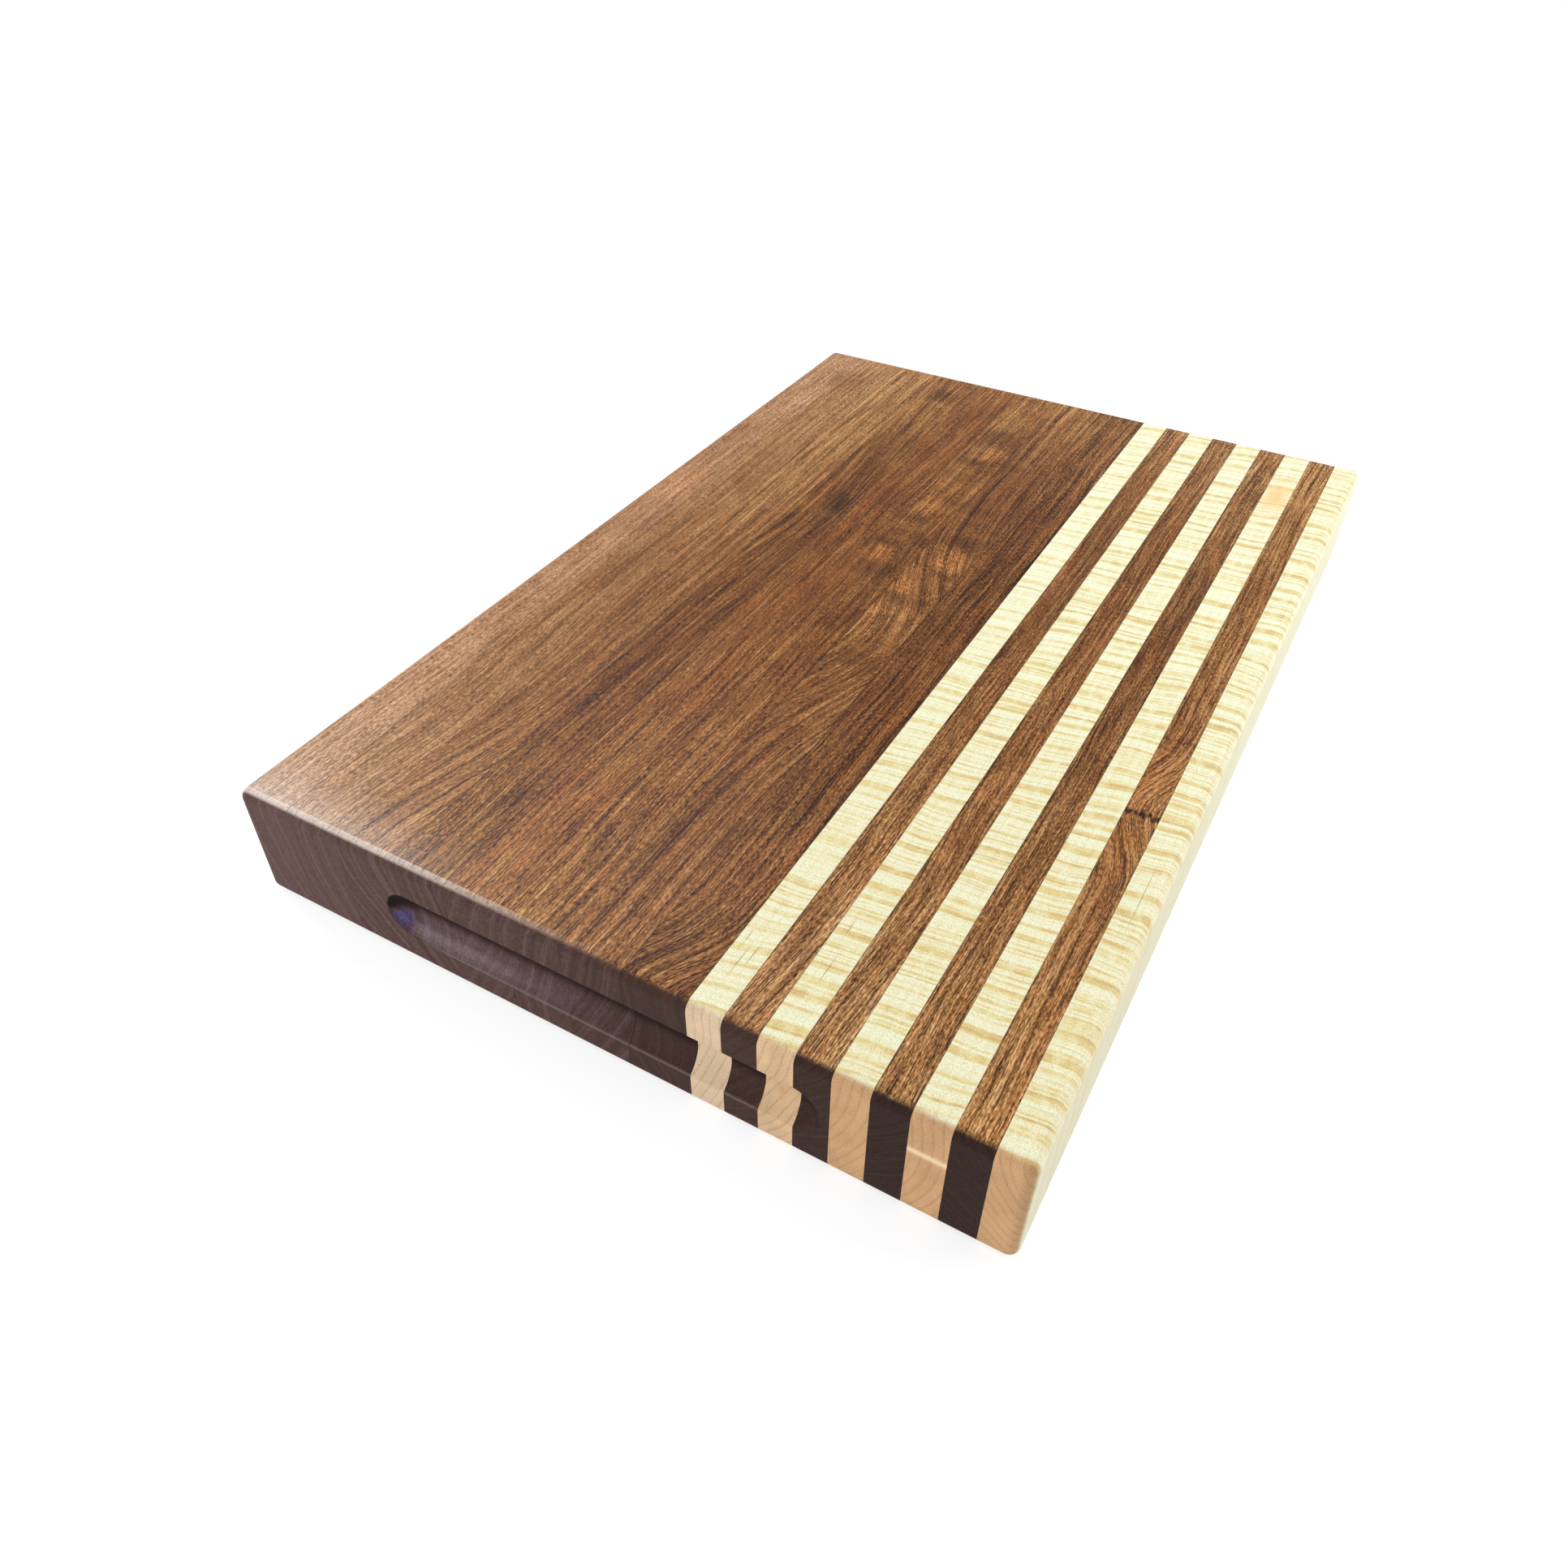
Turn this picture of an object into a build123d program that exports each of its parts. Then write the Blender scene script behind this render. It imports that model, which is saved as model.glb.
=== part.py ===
from build123d import *
import os

# Cutting board glued up from edge-grain strips of walnut and maple.
# Frame: millimetres, origin at the middle of the underside, +X across the board towards the
# striped edge, +Y along the grain, +Z up.

# Driving dimensions
board_width = 304.8
board_length = 457.2
board_thickness = 50.0
stripe_width = 12.5
stripe_count = 9
stave_count = 8
edge_radius = 4.0

# Finger groove: a round-nosed cutter run along the middle of each end face
cutter_radius = 12.7
groove_depth = 5.5
groove_travel = 152.4
groove_height = 24.0
groove_lip_radius = 0.6

# Sizes that follow from them
half_width = board_width / 2
half_length = board_length / 2
panel_width = board_width - stripe_count * stripe_width
stave_width = panel_width / stave_count
panel_right = -half_width + panel_width
cutter_standoff = cutter_radius - groove_depth


def groove_lip_edges(block):
    """The closed line where each groove meets its flat end face."""
    end_faces = block.faces().filter_by(Plane.XZ).filter_by(GeomType.PLANE)
    lips = ShapeList()
    for face in end_faces:
        for opening in face.inner_wires():
            lips.extend(opening.edges())
    return lips


# The whole glued blank, shaped before it is divided: eased on every edge, grooved at both ends
with BuildPart() as blank:
    Box(
        board_width,
        board_length,
        board_thickness,
        align=(Align.CENTER, Align.CENTER, Align.MIN),
    )
    fillet(blank.edges(), radius=edge_radius)
    for end_sign in (-1, 1):
        cutter_y = end_sign * (half_length + cutter_standoff)
        with Locations((0, cutter_y, groove_height)):
            Cylinder(
                radius=cutter_radius,
                height=groove_travel,
                rotation=(0, 90, 0),
                mode=Mode.SUBTRACT,
            )
        with Locations(
            (-groove_travel / 2, cutter_y, groove_height),
            (groove_travel / 2, cutter_y, groove_height),
        ):
            Sphere(radius=cutter_radius, mode=Mode.SUBTRACT)
    fillet(groove_lip_edges(blank), radius=groove_lip_radius)


def write_strip(name, left, width):
    """Cut one full-length strip of wood out of the blank and write it."""
    with BuildPart() as strip:
        add(blank.part)
        with Locations((left + width / 2, 0, board_thickness / 2)):
            Box(width, 2 * board_length, 2 * board_thickness, mode=Mode.INTERSECT)
    strip.part.label = name
    export_step(strip.part, f"parts/{name}.step")


os.makedirs("parts", exist_ok=True)

# The plain panel: eight walnut staves side by side
for stave in range(stave_count):
    stave_left = -half_width + stave * stave_width
    write_strip(f"walnut_stave_{stave + 1}", stave_left, stave_width)

# The striped side: maple and walnut in turn, starting and ending with maple
for stripe in range(stripe_count):
    wood = "maple" if stripe % 2 == 0 else "walnut"
    stripe_left = panel_right + stripe * stripe_width
    write_strip(f"{wood}_strip_{stripe // 2 + 1}", stripe_left, stripe_width)
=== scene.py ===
"""Looks for the cutting board: oiled walnut and curly maple, as solid procedural wood in every strip.

Every length in the materials is in millimetres of the board's own frame.
"""
import math

import bpy
from mathutils import Matrix, Vector


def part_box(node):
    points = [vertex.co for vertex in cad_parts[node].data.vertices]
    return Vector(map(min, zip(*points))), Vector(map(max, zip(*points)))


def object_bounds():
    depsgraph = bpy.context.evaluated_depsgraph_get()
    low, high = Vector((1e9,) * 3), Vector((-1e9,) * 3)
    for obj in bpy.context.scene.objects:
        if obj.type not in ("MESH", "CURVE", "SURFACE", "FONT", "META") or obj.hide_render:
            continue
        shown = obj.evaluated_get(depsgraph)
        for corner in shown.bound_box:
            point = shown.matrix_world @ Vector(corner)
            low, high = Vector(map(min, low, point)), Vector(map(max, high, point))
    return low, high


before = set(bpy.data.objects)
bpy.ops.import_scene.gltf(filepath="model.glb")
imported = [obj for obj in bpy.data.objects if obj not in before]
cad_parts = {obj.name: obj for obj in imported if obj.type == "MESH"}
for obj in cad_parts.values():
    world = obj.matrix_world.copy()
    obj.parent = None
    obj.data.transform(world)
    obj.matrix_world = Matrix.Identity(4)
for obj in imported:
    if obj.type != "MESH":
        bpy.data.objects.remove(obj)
cad_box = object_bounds()

METRE = 1000.0
near_end = cad_box[0][1] * METRE
far_end = cad_box[1][1] * METRE
half_width = cad_box[1][0] * METRE
board_top = cad_box[1][2] * METRE

# The radius of the board's edges, and for a finger groove: the height of its middle, how far below
# that its lower lip is, the x of its -X round end, and how near to the board's end its surface stays
EDGE_RADIUS = 4.0
GROOVE_HEIGHT = 24.0
LIP_BELOW = 10.6
ROUND_END = -83.5
GROOVE_REACH = 6.0

# The walnut panel's darker middle, against ends made lighter and bluer, partly its own tone and
# partly painted sheen: its distance from the near end, its half length and its change in brightness,
# and how much lighter than its own colours the walnut is away from it
PAINTED_SHEEN_DIP = (235.0, 185.0, -0.38)
PAINTED_SHEEN_GAIN = 1.11

WHITE = (1.0, 1.0, 1.0, 1.0)


def linear(red, green, blue):
    """A colour in ordinary 0 to 255 screen values, as the scene-linear RGBA that Blender wants."""
    def channel(value):
        value /= 255
        return value / 12.92 if value <= 0.04045 else ((value + 0.055) / 1.055) ** 2.4
    return channel(red), channel(green), channel(blue), 1.0


# Walnut, from its darkest to its lightest wood: first on its faces, then on its ends
WALNUT_FACE = [
    (0.00, linear(40, 19, 7)),
    (0.22, linear(86, 50, 21)),
    (0.50, linear(134, 92, 46)),
    (0.76, linear(168, 125, 75)),
    (1.00, linear(202, 160, 110)),
]
WALNUT_END = [
    (0.0, linear(34, 15, 6)),
    (0.4, linear(63, 41, 32)),
    (0.7, linear(98, 74, 70)),
    (1.0, linear(136, 108, 105)),
]
RED_TINT = linear(255, 228, 212)
VESSEL = linear(40, 20, 12)
# Painted highlights: on the top's end edges, with painted sheen at the near -X corner, and along the
# grooves' lower lips
EDGE_HIGHLIGHT = linear(208, 194, 182)
LIP_HIGHLIGHT = linear(160, 142, 134)
# A painted bluish reflection inside the grooves, and a painted blue glint in their -X round end
PAINTED_BLUE_REFLECTION = (1.15, 1.15, 1.75, 1.0)
PAINTED_BLUE_GLINT = (0.9, 1.3, 3.0, 1.0)

# Maple, from between its curl bars to the middle of the strongest ones, and its painted light: darker at
# the near end, lighter and bluer towards the far end
MAPLE_FACE = [
    (0.0, linear(224, 218, 181)),
    (0.35, linear(214, 194, 134)),
    (0.8, linear(198, 164, 106)),
]
MAPLE_NEAR_SHADE = (0.9, 0.92, 0.96, 1.0)
MAPLE_FAR_LIGHT = (0.975, 1.045, 1.16, 1.0)
MAPLE_YEAR = linear(196, 160, 108)
END_YEAR = linear(150, 104, 66)
TAN_SPOT = linear(222, 176, 118)
CHECK = linear(120, 84, 48)
PINK_END = linear(206, 180, 146)
BUFF_END = linear(204, 171, 130)
TAN_END = linear(192, 151, 106)


class Graph:
    """Shorthand for one material's nodes. Each method adds a node and returns the socket it gives out."""

    def __init__(self, name):
        self.material = bpy.data.materials.new(name)
        self.material.use_nodes = True
        self.tree = self.material.node_tree
        self.tree.nodes.clear()

    def add(self, kind, inputs, output=0, **settings):
        node = self.tree.nodes.new(kind)
        for key, value in settings.items():
            setattr(node, key, value)
        for key, value in inputs.items():
            if isinstance(value, bpy.types.NodeSocket):
                self.tree.links.new(value, node.inputs[key])
            else:
                node.inputs[key].default_value = value
        return node.outputs[output]

    def math(self, operation, *values):
        return self.add("ShaderNodeMath", dict(enumerate(values)), operation=operation)

    def plus(self, a, b):
        return self.math("ADD", a, b)

    def times(self, a, b):
        return self.math("MULTIPLY", a, b)

    def scaled(self, vector, factors):
        """A vector times a vector, part by part."""
        return self.add("ShaderNodeVectorMath", {0: vector, 1: factors}, operation="MULTIPLY")

    def moved(self, vector, offset):
        return self.add("ShaderNodeVectorMath", {0: vector, 1: offset}, operation="ADD")

    def combine(self, x, y, z):
        return self.add("ShaderNodeCombineXYZ", {"X": x, "Y": y, "Z": z})

    def split(self, vector):
        outputs = self.add("ShaderNodeSeparateXYZ", {0: vector}).node.outputs
        return outputs[0], outputs[1], outputs[2]

    def noise(self, place, detail=2.0, roughness=0.5):
        inputs = {"Vector": place, "Scale": 1.0, "Detail": detail, "Roughness": roughness}
        return self.add("ShaderNodeTexNoise", inputs)

    def noise_along(self, distance, detail=2.0, roughness=0.5):
        inputs = {"W": distance, "Scale": 1.0, "Detail": detail, "Roughness": roughness}
        return self.add("ShaderNodeTexNoise", inputs, noise_dimensions="1D")

    def centred(self, noise, amount):
        """A noise's 0 to 1 as -amount/2 to amount/2."""
        return self.add("ShaderNodeMath", {0: noise, 1: amount, 2: -amount / 2}, operation="MULTIPLY_ADD")

    def span(self, value, start, end, low=0.0, high=1.0):
        """Follows value smoothly from low at start to high at end, and holds it beyond them."""
        inputs = {"Value": value, "From Min": start, "From Max": end, "To Min": low, "To Max": high}
        return self.add("ShaderNodeMapRange", inputs, interpolation_type="SMOOTHSTEP")

    def hump(self, value, centre, width):
        """A bell, 1 at centre and near 0 past about twice width."""
        away = self.times(self.plus(value, -centre), 1 / width)
        return self.math("EXPONENT", self.times(self.times(away, away), -1.0))

    def plateau(self, value, centre, width):
        """1 around centre and 0 beyond width, with a quick fall between."""
        away = self.times(self.plus(value, -centre), 1 / width)
        squared = self.times(away, away)
        return self.math("EXPONENT", self.times(self.times(squared, squared), -1.0))

    def mix(self, amount, a, b, blend="MIX"):
        inputs = {0: amount, 6: a, 7: b}
        return self.add("ShaderNodeMix", inputs, 2, data_type="RGBA", blend_type=blend, clamp_factor=True)

    def ramp(self, value, stops):
        socket = self.add("ShaderNodeValToRGB", {0: value})
        elements = socket.node.color_ramp.elements
        while len(elements) < len(stops):
            elements.new(0.5)
        for element, (place, colour) in zip(elements, stops):
            element.position = place
            element.color = colour
        return socket

    def surface(self, **inputs):
        """Ends the graph with a Principled shader that has these inputs."""
        shader = self.add("ShaderNodeBsdfPrincipled", inputs)
        output = self.tree.nodes.new("ShaderNodeOutputMaterial")
        self.tree.links.new(shader, output.inputs["Surface"])
        return self.material

    def tinted(self, colour, tint):
        """A colour times another."""
        return self.mix(1.0, colour, tint, "MULTIPLY")

    def shade(self, colour, amount):
        """A colour made lighter or darker by a factor that varies over the surface."""
        return self.tinted(colour, self.combine(amount, amount, amount))


def board_place(graph):
    """Where the shaded point is in the board, in millimetres."""
    place = graph.add("ShaderNodeTexCoord", {}, "Object")
    return graph.scaled(place, (METRE, METRE, METRE))


def end_grain_share(graph, x, y, z):
    """1 where the surface cuts across the fibres, and 0 where it runs along them.

    The finger grooves count as cut across, and their own share comes second.
    """
    normal = graph.add("ShaderNodeNewGeometry", {}, "Normal")
    facing = graph.span(graph.math("ABSOLUTE", graph.split(normal)[1]), 0.2, 0.7)
    along = graph.math("ABSOLUTE", y)
    near_an_end = graph.span(along, far_end - GROOVE_REACH - 0.5, far_end - GROOVE_REACH)
    from_sides = graph.math("SUBTRACT", half_width, graph.math("ABSOLUTE", x))
    from_faces = graph.math("MINIMUM", z, graph.math("SUBTRACT", board_top, z))
    from_edges = graph.math("MINIMUM", from_faces, from_sides)
    edge_free = graph.times(near_an_end, graph.span(from_edges, EDGE_RADIUS, EDGE_RADIUS + 1.0))
    inset = graph.span(along, far_end - 0.1, far_end - 0.6)
    return graph.math("MAXIMUM", facing, edge_free), graph.times(edge_free, inset)


def lip_highlight(graph, x, y, z):
    """1 along the finger grooves' lower lips, where a thin pale highlight is painted."""
    at_face = graph.span(graph.math("ABSOLUTE", y), far_end - 0.9, far_end - 0.4)
    within = graph.span(graph.math("ABSOLUTE", x), 78.0, 58.0)
    return graph.times(graph.times(at_face, within), graph.hump(z, GROOVE_HEIGHT - LIP_BELOW, 0.45))


def painted_edge_highlight(graph, x, y, z):
    """How strongly a pale highlight is painted on the top's end edges, standing in for a reflection.

    It is most at the near -X corner, where it reaches onto the top as painted sheen. lean is how far
    the surface has turned from the top (0) to the end (1).
    """
    normal = graph.add("ShaderNodeNewGeometry", {}, "Normal")
    lean = graph.math("ABSOLUTE", graph.split(normal)[1])
    band = graph.times(graph.span(lean, 0.02, 0.12), graph.span(lean, 0.72, 0.45))
    band = graph.times(band, graph.span(x, 20.0, -100.0))
    corner_sheen = graph.times(graph.hump(y, near_end, 15.0), graph.span(x, -30.0, -125.0, 0.0, 0.8))
    grain = graph.noise(graph.combine(graph.times(x, 2.0), graph.times(y, 0.7), 0.0), 2.0)
    corner_sheen = graph.times(corner_sheen, graph.span(grain, 0.35, 0.65, 0.2, 1.0))
    corner_sheen = graph.times(corner_sheen, graph.span(lean, 0.55, 0.3))
    highlight = graph.math("MAXIMUM", band, corner_sheen)
    return graph.times(highlight, graph.span(z, board_top - EDGE_RADIUS - 2.0, board_top - EDGE_RADIUS))


def finish_wood(graph, colour, roughness, height, relief):
    """Joins the colour, gloss and relief of a piece of oiled wood into its shader."""
    bump = graph.add("ShaderNodeBump", {"Strength": 0.6, "Distance": relief / METRE, "Height": height})
    return graph.surface(**{
        "Base Color": colour,
        "Roughness": roughness,
        "Specular IOR Level": 0.18,
        "Normal": bump,
    })


def growth_rings(graph, place, pith, spacing, wander, swells, seed):
    """Distance from the pith in rings, with the grain's wander along the board.

    pith is (x, z). Each swell is (distance from the near end, half length, sideways shift): the
    lines bow that far towards +X there, as they do around a knot or a branch.
    Returns the ring count, and the sideways place that fibres and pores follow.
    """
    x, y, z = graph.split(place)
    shifted = graph.moved(place, seed)
    sway = graph.noise(graph.scaled(shifted, (1 / 45, 1 / 130, 1 / 45)), 1.0)
    across = graph.plus(x, graph.centred(sway, wander))
    ripple = graph.noise(graph.scaled(shifted, (1 / 8, 1 / 24, 1 / 8)), 1.0)
    across = graph.plus(across, graph.centred(ripple, wander * 0.18))
    for distance, half_length, shift in swells:
        bow = graph.hump(y, near_end + distance, half_length)
        across = graph.plus(across, graph.times(bow, -shift))
    from_pith = graph.combine(graph.plus(across, -pith[0]), 0.0, graph.plus(z, -pith[1]))
    radius = graph.add("ShaderNodeVectorMath", {0: from_pith}, "Value", operation="LENGTH")
    return graph.times(radius, 1 / spacing), across


def drawn_out(graph, across, y, z, width, length):
    """A place for textures whose cells are width mm thick and length mm long, along the grain."""
    up = graph.times(z, 1 / width)
    return graph.combine(graph.times(across, 1 / width), graph.times(y, 1 / length), up)


def pores(graph, across, y, z, width, length, kept):
    """Long open vessels: a short dark dash on a face along the grain, a dot on an end.

    kept is how many of the texture's cells hold a vessel, as a share of 1.
    """
    place = drawn_out(graph, across, y, z, width, length)
    distance = graph.add("ShaderNodeTexVoronoi", {"Vector": place, "Scale": 1.0, "Randomness": 1.0})
    lottery = graph.split(distance.node.outputs["Color"])[0]
    vessel = graph.span(distance, 0.36, 0.2)
    return graph.times(vessel, graph.span(lottery, kept, kept + 0.15, 1.0, 0.0))


def streaks(graph, across, y, z, width, length, detail=2.0):
    """Noise drawn out along the grain."""
    return graph.noise(drawn_out(graph, across, y, z, width, length), detail, 0.55)


def glue_line(graph, x, left, right, width, strength):
    """The thin dark line at each side of a strip, as what is left of full brightness."""
    away = graph.math("MINIMUM", graph.plus(x, -left), graph.math("SUBTRACT", right, x))
    return graph.span(away, 0.0, width, 1.0 - strength, 1.0)


def patches(graph, x, y, spots):
    """A colour factor for a piece's own marks, drawn by its fibres. The dark ones are warmer too.

    Each spot is (distance from the near end, x, half length, half breadth, change in brightness).
    """
    ragged = graph.noise(graph.combine(graph.times(x, 1 / 1.6), graph.times(y, 1 / 12), 0.0), 3.0, 0.6)
    ragged_y = graph.plus(y, graph.centred(ragged, 9.0))
    fibres = graph.noise(graph.combine(graph.times(x, 1 / 1.3), graph.times(y, 1 / 22), 0.0), 2.0)
    fibres = graph.span(fibres, 0.3, 0.62, 0.35, 1.1)
    glow = None
    for distance, spot_x, half_length, half_breadth, change in spots:
        along = graph.plateau(ragged_y, near_end + distance, half_length * 1.15)
        spot = graph.times(along, graph.plateau(x, spot_x, half_breadth * 1.15))
        spot = graph.times(spot, fibres)
        factor = graph.plus(graph.times(spot, change), 1.0)
        glow = factor if glow is None else graph.times(glow, factor)
    if glow is None:
        return WHITE
    dark = graph.math("MINIMUM", glow, 1.0)
    green = graph.times(glow, graph.math("POWER", dark, 0.15))
    blue = graph.times(glow, graph.math("POWER", dark, 0.3))
    return graph.combine(glow, green, blue)


def drift(graph, x, y, shades):
    """Slow change in brightness along a stave, as a factor.

    Each shade is (distance from the near end, half length, change). All the walnut is darker
    towards the board's middle, and least so at the -X edge, and lighter and bluer towards both ends:
    partly its own tone, partly painted sheen.
    """
    distance, half_length, change = PAINTED_SHEEN_DIP
    share = graph.span(x, -half_width - 8.0, -half_width + 72.0, 0.45, 1.0)
    sheen_dip = graph.times(graph.hump(y, near_end + distance, half_length), share)
    glow = graph.plus(graph.times(sheen_dip, change * PAINTED_SHEEN_GAIN), PAINTED_SHEEN_GAIN)
    for distance, half_length, change in shades:
        bell = graph.hump(y, near_end + distance, half_length)
        glow = graph.times(glow, graph.plus(graph.times(bell, change), 1.0))
    # Where it is lighter it is also bluer: painted sheen
    return graph.combine(glow, graph.math("POWER", glow, 1.4), graph.math("POWER", glow, 1.85))


def mark_end(graph, colour, x, z, marks):
    """Colours an end where its marks are: (x, height, half breadth, half height, colour, amount) each."""
    for mark_x, mark_z, half_breadth, half_height, mark_colour, amount in marks:
        share = graph.times(graph.hump(x, mark_x, half_breadth), graph.hump(z, mark_z, half_height))
        colour = graph.mix(graph.times(share, amount), colour, mark_colour)
    return colour


def groove_colour(graph, end_grain, groove, x, z):
    """The walnut's colour inside a finger groove.

    It has painted shade under the groove's top edge. Below, towards -X, it has a painted bluish
    reflection, with a painted blue glint in the round end. Returns the colour, and the masks of that
    glossier bluish part and of the overhung part.
    """
    overhung = graph.times(groove, graph.span(z, GROOVE_HEIGHT - 4.5, GROOVE_HEIGHT + 2.5))
    open_below = graph.times(groove, graph.span(z, GROOVE_HEIGHT, GROOVE_HEIGHT - 5.0))
    gloss_and_blue_sheen = graph.times(open_below, graph.span(x, 50.0, -70.0))
    glint_mask = graph.times(gloss_and_blue_sheen, graph.hump(x, ROUND_END, 5.0))
    glint_mask = graph.times(glint_mask, graph.hump(z, GROOVE_HEIGHT - 4.0, 5.0))
    # Painted shade under the top edge, then a painted bluish reflection, then a painted blue glint
    colour = graph.shade(end_grain, graph.span(overhung, 0.0, 1.0, 1.0, 0.2))
    colour = graph.mix(gloss_and_blue_sheen, colour, graph.tinted(colour, PAINTED_BLUE_REFLECTION))
    colour = graph.mix(graph.times(glint_mask, 0.8), colour, graph.tinted(colour, PAINTED_BLUE_GLINT))
    return colour, gloss_and_blue_sheen, overhung


def walnut(name, pith, spacing=3.2, wander=7.0, swells=(), tone=0.0, end_tone=0.0, red=0.35, tint=WHITE,
           bands=0.5, figure=1.0, mottle=0.16, open_pores=0.65, pore_length=9.0, joint=0.35,
           spots=(), shades=(), end_marks=()):
    """Oiled black walnut.

    pith, spacing, wander and swells are those of its growth_rings. tone lightens (+) or darkens (-)
    it, and end_tone does the same to its end grain. red is its share of red brown against golden
    brown, and tint a colour that its faces are multiplied by. bands, figure, mottle and open_pores
    say how strongly its rings, its streaks, the shimmer across its grain and its vessels show, and
    pore_length how long the vessels are. joint is how dark its glue lines are. spots, shades and
    end_marks are those of its patches, its drift and its mark_end.
    """
    low, high = (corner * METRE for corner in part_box(name))
    seed = (pith[0] * 1.7, pith[1] * 2.3 + low.x, low.x * 3.1)
    g = Graph(name)
    place = board_place(g)
    x, y, z = g.split(place)
    rings, across = growth_rings(g, place, pith, spacing, wander, swells, seed)
    end, groove = end_grain_share(g, x, y, z)
    across_seeded = g.plus(across, seed[0])

    # Bands of colour that follow the rings, with a dark line where each year's growth ends
    band_noise = g.noise_along(g.plus(rings, seed[1]), 3.0, 0.6)
    band = g.centred(band_noise, bands)
    year = g.math("FRACT", g.times(g.plus(rings, g.times(band_noise, 1.2)), 0.4))
    year_line = g.times(g.span(year, 0.78, 0.95), g.span(year, 1.0, 0.97))

    # Streaks along the fibres, coarse and fine, the crinkle of planed walnut, and a faint shimmer
    coarse = g.centred(streaks(g, across_seeded, y, z, 2.2, 70.0, 2.0), 0.62 * figure)
    fine_noise = streaks(g, across_seeded, y, z, 0.6, 24.0, 3.0)
    crinkle = streaks(g, g.plus(across_seeded, 41.0), y, z, 0.45, 1.9, 2.0)
    fine = g.plus(g.centred(fine_noise, 1.4 * figure), g.centred(crinkle, 1.75))
    shimmer = g.noise(drawn_out(g, across_seeded, y, z, 13, 8), 2.0, 0.6)
    light = g.plus(g.plus(band, coarse), g.plus(fine, g.centred(shimmer, mottle)))
    light = g.plus(g.plus(light, g.times(year_line, -0.3 * bands)), 0.53 + tone)
    long_grain = g.ramp(light, WALNUT_FACE)
    hue = g.noise(g.scaled(g.moved(place, seed), (1 / 6, 1 / 50, 1 / 6)), 2.0)
    redness = g.span(hue, 0.35, 0.65, red * 0.4, min(red * 1.6, 1.0))
    long_grain = g.mix(redness, long_grain, g.tinted(long_grain, RED_TINT))
    for factor in (tint, patches(g, x, y, spots), drift(g, x, y, shades)):
        long_grain = g.tinted(long_grain, factor)

    # Open vessels, in long dashes and a finer scatter, thickest in the early wood of each year
    early = g.span(band_noise, 0.62, 0.38, 0.45, 1.0)
    large = pores(g, across_seeded, y, z, 0.8, pore_length, 0.7)
    small = g.span(streaks(g, g.plus(across_seeded, 17.0), y, z, 0.4, 9.0, 1.0), 0.57, 0.62)
    vessels = g.times(g.math("MAXIMUM", large, g.times(small, 0.85)), g.times(early, open_pores))

    # End grain is much darker, and a year's dense last wood is its lightest line
    speckle = g.centred(streaks(g, across, y, z, 0.45, 40.0, 2.0), 0.5)
    end_light = g.plus(g.plus(g.times(band, 0.7), g.times(coarse, 0.3)), speckle)
    end_light = g.plus(end_light, g.times(year_line, 0.10))
    end_grain = g.ramp(g.plus(end_light, 0.35 + end_tone), WALNUT_END)
    end_grain = mark_end(g, end_grain, x, z, end_marks)
    # Inside the grooves: painted shade, a painted bluish reflection and a painted blue glint
    end_grain, gloss_and_blue_sheen, overhung = groove_colour(g, end_grain, groove, x, z)
    # A painted highlight along the groove's lower lip
    end_grain = g.mix(g.times(lip_highlight(g, x, y, z), 0.28), end_grain, LIP_HIGHLIGHT)

    colour = g.mix(end, long_grain, end_grain)
    # A painted highlight along the top's end edges, and painted sheen at the near -X corner
    colour = g.mix(g.times(painted_edge_highlight(g, x, y, z), 0.65), colour, EDGE_HIGHLIGHT)
    colour = g.mix(g.times(vessels, g.span(end, 0.0, 1.0, 1.0, 0.5)), colour, VESSEL)
    colour = g.shade(colour, glue_line(g, x, low.x, high.x, 0.4, joint))
    roughness = g.plus(g.plus(g.times(fine_noise, 0.2), 0.26), g.times(end, 0.4))
    roughness = g.plus(roughness, g.plus(g.times(gloss_and_blue_sheen, -0.5), g.times(overhung, 0.2)))
    height = g.plus(g.times(vessels, -1.0), g.plus(g.times(fine_noise, 0.4), g.times(crinkle, 0.5)))
    return finish_wood(g, colour, roughness, height, 0.06)


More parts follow.
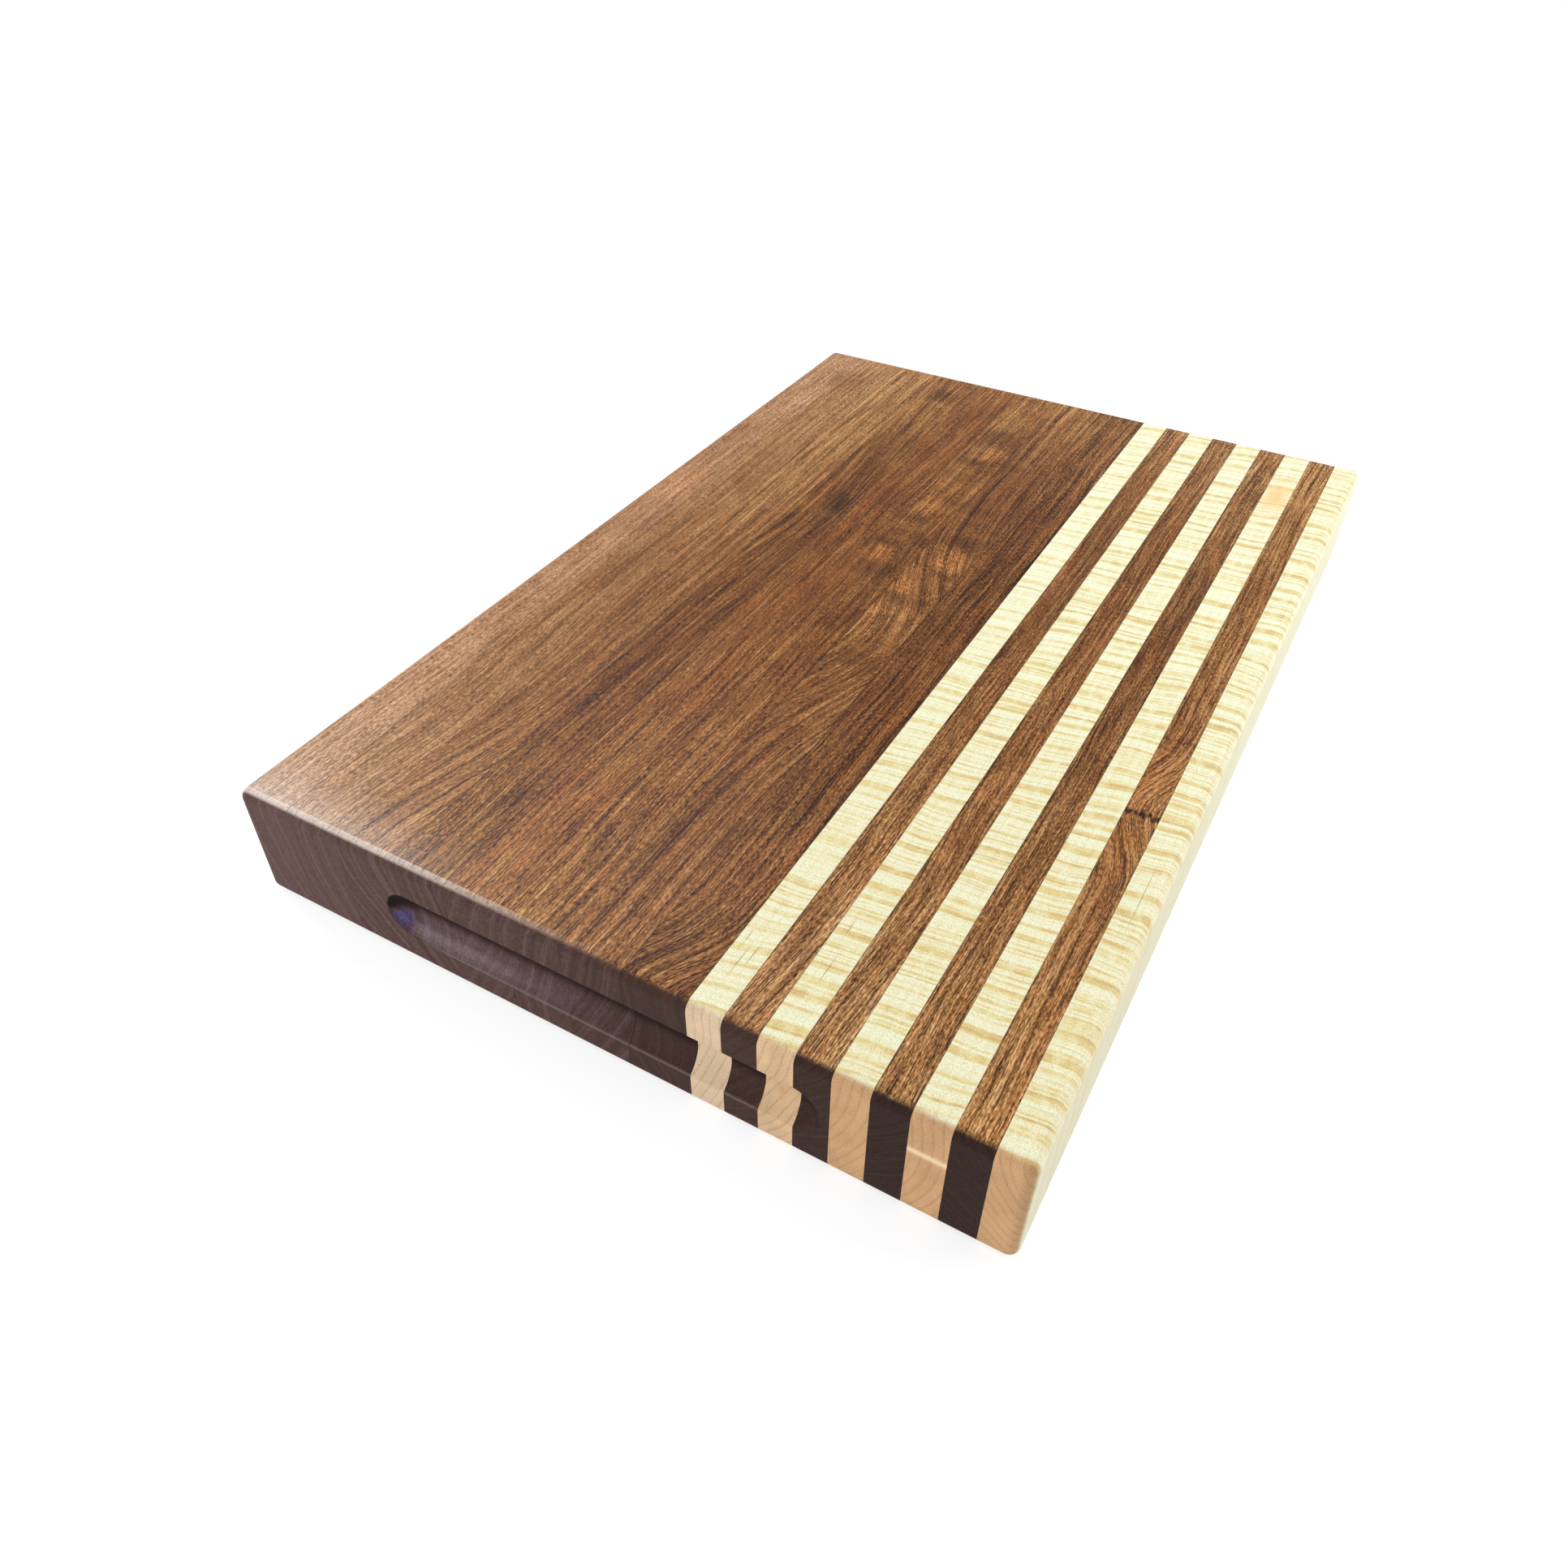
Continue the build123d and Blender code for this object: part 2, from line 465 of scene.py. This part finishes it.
def maple(name, pith, end_colour, curl=1.0, slant=0.14, spots=(), checks=(), end_marks=()):
    """Oiled curly maple: pale cream with gold bars across the grain.

    curl is how strong the bars are, and slant how far they lean. Each spot is a tan one: (distance
    from the near end, x, half length, half breadth, how tan). Each check is (distance from the near
    end, x, half length) of a hairline dark streak along the grain. end_marks are those of mark_end.
    """
    low, high = (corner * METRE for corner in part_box(name))
    seed = (pith[0] * 2.9 + low.x, pith[1], low.x * 1.9)
    g = Graph(name)
    place = board_place(g)
    x, y, z = g.split(place)
    rings, across = growth_rings(g, place, pith, 3.2, 3.0, (), seed)
    end, groove = end_grain_share(g, x, y, z)
    seeded = g.moved(place, seed)

    # Curl: bars across the grain, broad ones with sheaves of fine ones between them
    sway = g.centred(g.noise(g.scaled(seeded, (1 / 14, 1 / 40, 1 / 14)), 0.0), 3.0)
    bar_place = g.plus(g.plus(y, sway), g.times(g.plus(x, z), -slant))
    broad = g.noise_along(g.times(g.plus(bar_place, seed[0]), 1 / 4.6), 2.0, 0.5)
    broad = g.span(broad, 0.45, 0.68)
    narrow = g.noise_along(g.times(g.plus(bar_place, seed[2]), 1 / 1.4), 1.5)
    narrow = g.span(narrow, 0.45, 0.67)
    sheaf = g.span(g.noise_along(g.times(bar_place, 1 / 15), 1.0), 0.34, 0.60, 0.25, 1.0)
    uneven = g.span(g.noise(g.scaled(seeded, (1 / 3.5, 1 / 6, 1 / 3.5)), 2.0), 0.3, 0.65, 0.4, 1.0)
    strength = g.span(x, half_width - 1.5, half_width - 0.1, curl, curl * 0.5)
    curls = g.plus(g.times(broad, 0.72), g.times(g.times(narrow, sheaf), 0.6))
    curls = g.times(g.times(curls, uneven), strength)

    # Faint year lines, and fine dark flecks that are pores
    dots = streaks(g, across, y, z, 0.35, 0.8, 1.0)
    dot_shade = g.span(dots, 0.32, 0.55, 0.8, 1.0)
    year = g.math("FRACT", g.plus(rings, g.times(g.noise_along(rings, 2.0), 0.5)))
    year_line = g.times(g.span(year, 0.6, 0.95), g.span(year, 1.0, 0.96))
    long_grain = g.ramp(g.times(curls, 0.8), MAPLE_FACE)
    long_grain = g.mix(g.times(year_line, 0.13), long_grain, MAPLE_YEAR)
    long_grain = g.shade(long_grain, dot_shade)
    # Painted light: darker at the near end, lighter and bluer towards the far end
    painted_far_light = g.mix(g.span(y, near_end + 60.0, near_end + 330.0), MAPLE_NEAR_SHADE, MAPLE_FAR_LIGHT)
    long_grain = g.tinted(long_grain, painted_far_light)
    for distance, spot_x, half_length, half_breadth, amount in spots:
        spot = g.times(g.hump(y, near_end + distance, half_length), g.hump(x, spot_x, half_breadth))
        long_grain = g.mix(g.times(spot, amount), long_grain, TAN_SPOT)
    for distance, check_x, half_length in checks:
        check = g.times(g.hump(y, near_end + distance, half_length), g.hump(across, check_x, 0.16))
        long_grain = g.mix(g.times(check, 0.75), long_grain, CHECK)

    end_grain = g.mix(g.times(year_line, 0.3), end_colour, END_YEAR)
    end_tone = g.span(g.noise(g.scaled(seeded, (1 / 8, 1 / 60, 1 / 14)), 2.0), 0.3, 0.7, 0.9, 1.04)
    end_grain = mark_end(g, g.shade(end_grain, g.times(end_tone, dot_shade)), x, z, end_marks)

    colour = g.mix(end, long_grain, end_grain)
    colour = g.shade(colour, glue_line(g, x, low.x, high.x, 0.2, 0.15))
    roughness = g.plus(g.plus(g.times(dots, 0.1), 0.32), g.times(end, 0.4))
    roughness = g.plus(roughness, g.times(groove, -0.2))
    height = g.plus(g.times(dots, 0.3), g.times(curls, 0.25))
    return finish_wood(g, colour, roughness, height, 0.03)


# ---------------------------------------------------------------- the strips

# What the four narrow walnut strips have in common
NARROW = dict(figure=1.12, open_pores=0.9, pore_length=14.0, joint=0.65)

WALNUT = {
    "walnut_stave_1": dict(
        pith=(-40.0, 45.0), wander=5.0, tone=0.165, end_tone=0.20, red=0.2, tint=(0.97, 1.0, 1.34, 1.0),
        bands=0.2, figure=0.75, open_pores=0.5,
        spots=[(272, -139.0, 15, 8.0, 0.22), (232, -136.0, 14, 9.0, -0.16),
               (330, -141.0, 22, 8.0, -0.14), (418, -133.0, 12, 7.0, -0.24)]),
    "walnut_stave_2": dict(
        pith=(-20.0, 45.0), swells=[(80, 70, 5.0)], tone=0.10, end_tone=0.18, tint=(0.97, 1.02, 1.15, 1.0),
        bands=0.4, figure=0.8, open_pores=0.55, shades=[(110, 80, -0.10)],
        spots=[(196, -119.0, 26, 6.0, -0.22), (240, -108.0, 30, 5.0, 0.12), (420, -120.0, 12, 8.0, -0.24)]),
    "walnut_stave_3": dict(
        pith=(0.0, 70.0), swells=[(5, 55, -14.0)], tone=0.06, end_tone=0.14, bands=0.45, open_pores=0.6,
        shades=[(90, 120, -0.14), (300, 110, 0.22)]),
    "walnut_stave_4": dict(
        pith=(20.0, 60.0), swells=[(292, 75, 8.0)], tone=-0.10, end_tone=0.12, tint=(1.0, 0.96, 0.79, 1.0),
        bands=0.6, shades=[(130, 60, -0.18), (250, 40, 0.12), (329, 35, -0.14), (420, 50, 0.10)],
        spots=[(294, -63.0, 9, 6.0, -0.60), (268, -60.0, 38, 2.5, -0.35), (281, -76.0, 6, 3.0, 0.34),
               (298, -79.0, 5, 2.5, -0.42), (430, -69.0, 7, 9.0, -0.51), (415, -68.0, 8, 8.0, 0.20)]),
    "walnut_stave_5": dict(
        pith=(-150.0, 70.0), tone=-0.02, end_tone=0.12, red=0.9, tint=(1.0, 0.98, 0.89, 1.0), bands=0.4,
        shades=[(400, 110, -0.18)], spots=[(310, -44.0, 11, 8.0, -0.30)]),
    "walnut_stave_6": dict(
        pith=(90.0, 10.0), tone=-0.05, end_tone=0.10, tint=(1.0, 0.95, 0.83, 1.0), bands=0.4, mottle=0.35,
        spots=[(172, -28.0, 6, 3.0, 0.31), (165, -12.0, 8, 4.0, -0.24), (207, -12.0, 8, 4.0, -0.31),
               (248, -20.0, 5, 8.0, -0.42), (263, -24.0, 6, 5.0, 0.24), (272, -26.0, 3, 6.0, -0.48),
               (284, -26.0, 3, 4.0, -0.44), (280, -11.0, 4, 4.0, -0.59), (299, -25.0, 4, 7.0, -0.37),
               (314, -22.0, 8, 9.0, 0.48), (336, -24.0, 4, 8.0, 0.31), (365, -24.0, 3.5, 8.0, -0.51),
               (377, -17.0, 6, 4.0, 0.27), (396, -20.0, 10, 11.0, -0.44)]),
    "walnut_stave_7": dict(
        pith=(-90.0, 60.0), spacing=3.0, wander=4.0, swells=[(205, 62, 24.0)], end_tone=0.04, bands=0.6,
        mottle=0.3, shades=[(65, 70, -0.28), (215, 50, 0.15), (345, 62, -0.33)],
        spots=[(181, 6.0, 6, 9.0, -0.38), (231, 6.0, 4.5, 10.0, -0.38), (221, -4.5, 5, 2.5, 0.37),
               (243, -3.0, 6, 4.0, 0.51), (257, 8.0, 2.5, 7.0, -0.44), (270, 6.0, 8, 6.0, 0.65),
               (288, 5.0, 5, 11.0, -0.38)]),
    "walnut_stave_8": dict(
        pith=(140.0, 60.0), swells=[(-5, 26, -16.0)], tone=-0.14, end_tone=-0.08, red=0.4, bands=0.45,
        joint=0.75, shades=[(15, 50, -0.10), (120, 80, -0.10)], spots=[(240, 39.9, 150, 1.0, -0.55)]),
    "walnut_strip_1": dict(
        NARROW, pith=(0.0, 90.0), spacing=1.4, wander=8.0, swells=[(-10, 45, -7.0)], tone=0.04,
        end_tone=-0.06, tint=(0.98, 1.0, 1.08, 1.0), mottle=0.1, shades=[(94, 35, 0.12), (345, 60, -0.25)]),
    "walnut_strip_2": dict(
        NARROW, pith=(20.0, 100.0), spacing=1.2, wander=8.0, swells=[(75, 45, 4.0)], tone=0.04,
        end_tone=-0.20, tint=(0.98, 1.0, 1.08, 1.0), mottle=0.1,
        shades=[(15, 50, 0.12), (94, 35, -0.15), (345, 60, -0.22)],
        end_marks=[(84.0, 27.0, 1.5, 2.5, linear(92, 40, 28), 0.6),
                   (86.0, 21.0, 1.2, 1.5, linear(18, 8, 5), 0.8)]),
    "walnut_strip_3": dict(
        NARROW, pith=(45.0, 95.0), spacing=1.2, wander=8.0, end_tone=-0.30, tint=(0.98, 1.02, 1.10, 1.0),
        mottle=0.1, shades=[(10, 50, 0.14), (249, 50, -0.1), (430, 50, 0.12)]),
    "walnut_strip_4": dict(
        NARROW, pith=(175.0, 75.0), spacing=1.3, swells=[(153, 26, -13.0)], tone=0.13, end_tone=-0.30,
        shades=[(94, 35, -0.20), (249, 50, 0.12), (329, 35, -0.10)],
        spots=[(150, 133.0, 1.3, 9.0, -0.95), (196, 133.0, 0.9, 9.0, -0.5), (173, 133.0, 18, 9.0, 0.2)]),
}

MAPLE = {
    "maple_strip_1": dict(
        pith=(-30.0, 40.0), end_colour=PINK_END, curl=0.75,
        checks=[(23, 45.0, 5), (27, 47.5, 4), (33, 42.5, 3)]),
    "maple_strip_2": dict(
        pith=(0.0, 60.0), end_colour=BUFF_END, checks=[(33, 71.0, 6), (52, 69.0, 4)],
        end_marks=[(73.5, 28.5, 1.8, 2.6, linear(150, 88, 38), 0.75),
                   (71.0, 22.0, 1.6, 2.0, linear(180, 130, 70), 0.5)]),
    "maple_strip_3": dict(pith=(30.0, 50.0), end_colour=TAN_END, curl=0.95),
    "maple_strip_4": dict(
        pith=(60.0, 35.0), end_colour=TAN_END, spots=[(406, 121.0, 13, 6.0, 0.85)],
        # A pale line across this strip's end
        end_marks=[(121.0, 32.4, 30.0, 1.3, linear(240, 216, 172), 0.65)]),
    "maple_strip_5": dict(
        pith=(190.0, 60.0), end_colour=TAN_END, curl=1.1, slant=0.05, checks=[(112, 146.0, 12)]),
}


def dress(node, material):
    """Give a CAD node its finished material."""
    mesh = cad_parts[node].data
    mesh.materials.clear()
    mesh.materials.append(material)


for node, settings in WALNUT.items():
    dress(node, walnut(node, **settings))
for node, settings in MAPLE.items():
    dress(node, maple(node, **settings))


# ---------------------------------------------------------------- floor, light and camera

def make_floor():
    """A plain pale floor for the board to stand on."""
    half = 6.0
    mesh = bpy.data.meshes.new("floor")
    corners = [(-half, -half, 0), (half, -half, 0), (half, half, 0), (-half, half, 0)]
    mesh.from_pydata(corners, [], [(0, 1, 2, 3)])
    floor = bpy.data.objects.new("floor", mesh)
    bpy.context.scene.collection.objects.link(floor)
    g = Graph("floor")
    mesh.materials.append(g.surface(**{
        "Base Color": (0.30, 0.30, 0.30, 1.0),
        "Roughness": 0.8,
        "Specular IOR Level": 0.2,
        "Emission Color": WHITE,
        "Emission Strength": 0.74,
    }))


def soft_light(name, place, size, brightness, colour):
    """A softbox that faces the middle of the board. size is (width, height), brightness its radiance."""
    data = bpy.data.lights.new(name, "AREA")
    data.shape = "RECTANGLE"
    data.size, data.size_y = size
    data.energy = brightness * math.pi * size[0] * size[1]
    data.color = colour
    light = bpy.data.objects.new(name, data)
    light.location = place
    light.visible_camera = False
    towards_board = Vector((0, 0, 0.03)) - Vector(place)
    light.rotation_euler = towards_board.to_track_quat("-Z", "Y").to_euler()
    bpy.context.scene.collection.objects.link(light)


def studio():
    """An even white world, with softboxes around and above the board.

    The low blue one in front makes the glint in the round end of the near finger groove, with a painted
    blue glint in the walnut's colour there.
    """
    world = bpy.data.worlds.new("studio")
    world.use_nodes = True
    background = world.node_tree.nodes["Background"]
    background.inputs["Color"].default_value = WHITE
    background.inputs["Strength"].default_value = 0.36
    bpy.context.scene.world = world
    soft_light("window", (-1.75, -0.10, 1.45), (1.9, 0.8), 9.5, (0.82, 0.90, 1.0))
    soft_light("sky", (-1.08, 0.80, 1.58), (1.0, 0.55), 4.2, (0.66, 0.82, 1.0))
    soft_light("horizon", (-0.90, 1.95, 0.75), (1.6, 0.3), 0.5, (0.78, 0.90, 1.0))
    soft_light("side_window", (-0.85, -1.35, 0.42), (0.8, 0.7), 7.0, (1.0, 0.93, 0.88))
    soft_light("front_window", (0.50, -1.36, 0.16), (0.30, 0.22), 12.0, (0.30, 0.45, 1.0))
    soft_light("key", (0.5, -1.0, 1.9), (1.4, 1.4), 0.5, (1.0, 0.95, 0.86))
    soft_light("back", (0.85, 1.1, 1.3), (1.2, 1.0), 5.2, (1.0, 0.98, 0.94))
    soft_light("rim", (1.6, 0.9, 0.6), (1.0, 0.8), 8.0, (1.0, 0.98, 0.94))
    bpy.context.scene.view_settings.view_transform = "Standard"


def make_camera():
    """The camera looks down over the board's near right corner."""
    data = bpy.data.cameras.new("camera")
    data.sensor_width = 36.0
    data.lens = 27.83
    data.clip_start = 0.01
    camera = bpy.data.objects.new("camera", data)
    place = Vector((0.1774, -0.4112, 0.3417))
    heading, dip, roll = math.radians(29.56), math.radians(41.81), math.radians(0.29)
    turn = Matrix.Rotation(heading, 4, "Z") @ Matrix.Rotation(math.pi / 2 - dip, 4, "X")
    turn = turn @ Matrix.Rotation(roll, 4, "Z")
    camera.matrix_world = Matrix.Translation(place) @ turn
    bpy.context.scene.collection.objects.link(camera)
    bpy.context.scene.camera = camera


make_floor()
studio()
make_camera()
